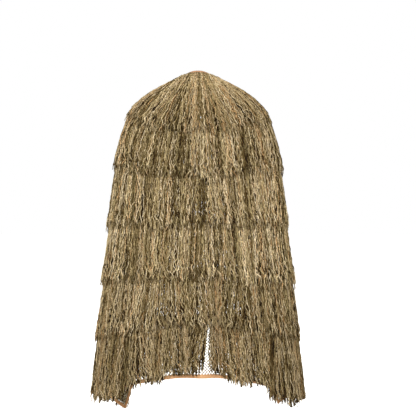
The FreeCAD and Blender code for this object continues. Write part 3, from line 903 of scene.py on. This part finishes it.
def make_back(rng):
    seam_right, seam_left = constant(-90), constant(90)
    net, (width, length, area) = make_net("back_net", seam_right, seam_left, 0.5)
    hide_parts("back_net_panel")
    neck_ends = [edge_bearing(side, 0.0) - side * NECK_BINDING_STOPS for side in (RIGHT, LEFT)]
    neckline = level_stations(*neck_ends, 0.0, -1, 160)
    neck = binding("neck_binding_tape", neckline, rng, EDGE_BINDING_WIDTH, NECK_BINDING_SHADED_COPY)
    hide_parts("neck_binding")
    hem = binding("back_hem_tape", level_stations(-90, 90, 1.0, 1, 300), rng, HEM_BINDING_WIDTH, BINDING)
    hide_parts("back_hem_binding")
    pieces = neck + hem
    for row in ROWS:
        top, whole = row_top(row), row in SHOULDER_ROWS
        tape = row_tape(f"back_row_tape_{row}", -90, 90, constant(top))
        roots = constant(top - ROOT_RISE)
        yarn = yarn_row(f"back_yarn_{row}", row, seam_right, seam_left, roots, rng)
        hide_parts(f"fringe_tape_{row}" if whole else f"back_fringe_tape_{row}")
        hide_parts(f"fringe_row_{row}" if whole else f"back_fringe_row_{row}")
        pieces += [tape, yarn]
    pieces += [make_seam_tape(side_name, *seam) for side_name in SIDES for seam in SEAMS]
    for piece in [net] + pieces:
        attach(piece, "cape_back")


def make_front_row(name, side, row, rng):
    """A front's tape and yarn of one row. The first row slopes down to the front edge."""
    top = row_top(row)
    dip = FIRST_ROW_DIP if row == 1 else 0.0
    edge_at_tape = abs(edge_bearing(side, top + dip))

    def tape_height(theta):
        return top + dip * np.clip((np.abs(theta) - 90) / (edge_at_tape - 90), 0, 1)

    def roots(share):
        return top - ROOT_RISE + dip * share

    def last_strand(v):
        return edge_bearing(side, v, EDGE_INSET)

    tape_end = edge_bearing(side, top + dip, ROW_TAPE_INSET)
    tape = row_tape(f"{name}_row_tape_{row}", side * 90, tape_end, tape_height, 60)
    splay = side * EDGE_SPLAY
    yarn = yarn_row(f"{name}_yarn_{row}", row, constant(side * 90), last_strand, roots, rng, splay)
    if row not in SHOULDER_ROWS:
        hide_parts(f"{name}_fringe_tape_{row}")
        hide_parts(f"{name}_fringe_row_{row}")
    return [tape, yarn]


def make_front(name, side, rng):
    """A front: its netting, its bindings and its rows of yarn."""
    def edge(v):
        return edge_bearing(side, v)

    net, (width, length, area) = make_net(f"{name}_front_net", constant(side * 90), edge, 0.0)
    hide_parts(f"{name}_chest_net_panel", f"{name}_front_net_panel")
    long_edge = binding(f"{name}_edge_tape", edge_stations(side), rng, EDGE_BINDING_WIDTH, BINDING)
    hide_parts(f"{name}_chest_edge_binding", f"{name}_front_edge_binding")
    corner = edge_bearing(side, 1.0)
    hemline = level_stations(side * 90, corner - side * HEM_BINDING_STOPS, 1.0, 1, 120)
    hem = binding(f"{name}_hem_tape", hemline, rng, HEM_BINDING_WIDTH, BINDING)
    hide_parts(f"{name}_hem_binding")
    pieces = long_edge + hem
    for row in ROWS:
        pieces += make_front_row(name, side, row, rng)
    for piece in [net] + pieces:
        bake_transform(piece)


# -------- neck closure
def closure_frame():
    """The origin of the plane that the neck tab lies in, and its directions across (along x), out and up."""
    point, normal, down = frame_at(np.array([180.0]), CLOSURE_V)
    return point[0], np.array([1.0, 0.0, 0.0]), normal[0], -down[0]


def webbing_piece(name, node, body, rounded):
    """A flat length of webbing over a CAD slab, with soft edges and, if asked, a round end at low x. Returns
    its lowest and highest x, the height of its outer face and half its width."""
    origin, across, out, up = closure_frame()
    corners = np.array([vertex.co[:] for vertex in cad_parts[node].data.vertices]) - origin
    x, height, z = corners @ across, corners @ out, corners @ up
    x_low, x_high, half = x.min(), x.max(), z.max()
    columns, rows = 40, 14
    s = np.linspace(0, 1, columns + 1)[:, None]
    t = np.linspace(-1, 1, rows + 1)[None, :]
    radius = TAB_END_RADIUS if rounded else WEBBING_CORNER
    past_straight = np.maximum(np.abs(t) * half - (half - radius), 0)
    start = x_low + radius - np.sqrt(np.maximum(radius**2 - past_straight**2, 0))
    px = start + (x_high - start) * s
    pz = half * t * np.ones_like(s)
    from_edge = np.minimum(np.minimum((1 - np.abs(t)) * half, px - start), x_high - px)
    soft = np.sqrt(np.clip(from_edge / WEBBING_SOFT, 0, 1))
    middle, half_thick = (height.min() + height.max()) / 2, (height.max() - height.min()) / 2
    level = half_thick * (0.45 + 0.55 * soft)
    flat = origin + px[..., None] * across + pz[..., None] * up
    faces_at = middle + level, middle - level
    points = np.concatenate([(flat + h[..., None] * out).reshape(-1, 3) for h in faces_at])

    outer = np.arange(px.size).reshape(px.shape)
    quads = np.stack([outer[:-1, :-1], outer[1:, :-1], outer[1:, 1:], outer[:-1, 1:]], -1).reshape(-1, 4)
    loop = np.concatenate([outer[:, 0], outer[-1, 1:], outer[::-1, -1][1:], outer[0, ::-1][1:-1]])
    below = loop + px.size
    rim = np.stack([loop, below, np.roll(below, -1), np.roll(loop, -1)], -1)
    faces = [np.concatenate([quads, quads[:, ::-1] + px.size]), rim]
    weave = np.stack([px, pz, np.zeros_like(px)], -1).reshape(-1, 3)
    piece = new_mesh(name, points, faces, WEBBING, [("weave", np.concatenate([weave, weave]))])
    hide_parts(node)
    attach(piece, body)
    return x_low, x_high, height.max(), half


def box_stitching(name, body, box, crossed):
    """Stitches round a rectangle of webbing, and across it if asked. The box is its lowest and highest x, its
    height and half its width."""
    origin, across, out, up = closure_frame()
    x_low, x_high, height, half = box
    corners = [(x_low, -half), (x_high, -half), (x_high, half), (x_low, half)]
    runs = list(zip(corners, corners[1:] + corners[:1]))
    if crossed:
        runs += [(corners[0], corners[2]), (corners[1], corners[3])]
    pitch, stitch, radius = WEBBING_STITCH
    at, along = [], []
    for (x0, z0), (x1, z1) in runs:
        length = math.hypot(x1 - x0, z1 - z0)
        direction = across * (x1 - x0) / length + up * (z1 - z0) / length
        start = origin + across * x0 + up * z0 + out * height
        for step in np.arange(pitch / 2, length, pitch):
            at.append(start + direction * step)
            along.append(direction)
    normals = np.tile(out, (len(at), 1))
    piece = stitches(name, np.array(at), normals, np.array(along), stitch, radius)
    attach(piece, body)


def make_closure():
    for node, body, rounded, (from_low, from_high, from_sides), crossed in CLOSURE:
        x_low, x_high, height, half = webbing_piece(f"{node}_webbing", node, body, rounded)
        box = x_low + from_low, x_high - from_high, height, half - from_sides
        box_stitching(f"{node}_stitches", body, box, crossed)
    # The CAD's snap has the right shape, so it only gets a better material.
    for node in ("snap_cap", "snap_socket", "snap_stud", "snap_post"):
        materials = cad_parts[node].data.materials
        materials.clear()
        materials.append(METAL)


# -------- floor, light and camera
def make_stage():
    """A plain pale floor. It glows a little, so that it stays as pale as the surroundings."""
    pale = (0.85, 0.85, 0.85, 1)
    n = Nodes("studio_floor", 0.9, Base_Color=pale, Emission_Color=WHITE, Emission_Strength=FLOOR_GLOW)
    level = cad_box[0][2] - FLOOR_DROP
    edges = (-FLOOR_HALF, FLOOR_HALF)
    points = np.array([(x, y, level) for x in edges for y in edges], float)
    floor = new_mesh("floor", points, [np.array([[0, 2, 3, 1]])], n.material)
    floor.visible_diffuse = False


def make_light():
    """Soft lamps round the cape. The world is plain white to the eye, and dimmer as a light."""
    world = bpy.data.worlds.new("studio")
    world.use_nodes = True
    tree = world.node_tree
    background = tree.nodes["Background"]
    seen = tree.nodes.new("ShaderNodeLightPath").outputs["Is Camera Ray"]
    level = tree.nodes.new("ShaderNodeMapRange")
    level.inputs["To Min"].default_value = AMBIENT
    level.inputs["To Max"].default_value = 1.0
    tree.links.new(seen, level.inputs["Value"])
    colour = tree.nodes.new("ShaderNodeMix")
    colour.data_type = "RGBA"
    colour.inputs[6].default_value = AMBIENT_COLOUR
    colour.inputs[7].default_value = WHITE
    tree.links.new(seen, colour.inputs[0])
    tree.links.new(colour.outputs[2], background.inputs["Color"])
    tree.links.new(level.outputs["Result"], background.inputs["Strength"])
    scene.world = world
    scene.view_settings.view_transform = "Standard"
    for name, place, size, power in LAMPS:
        light = bpy.data.lights.new(name, "AREA")
        light.energy, light.size = power, size
        lamp = bpy.data.objects.new(name, light)
        lamp.location = place
        away = Vector(place) - Vector(LAMPS_AIM)
        lamp.rotation_euler = away.to_track_quat("Z", "Y").to_euler()
        scene.collection.objects.link(lamp)


def make_camera():
    lens = bpy.data.cameras.new("camera")
    lens.sensor_width, lens.lens = SENSOR, LENS
    camera = bpy.data.objects.new("camera", lens)
    camera.location = CAMERA_PLACE
    camera.rotation_euler = (math.pi / 2, 0, math.pi)
    scene.collection.objects.link(camera)
    scene.camera = camera


make_stage()
make_light()
make_camera()
rng = np.random.default_rng(11)
make_back(rng)
for name, side in SIDES.items():
    make_front(name, side, rng)
make_closure()
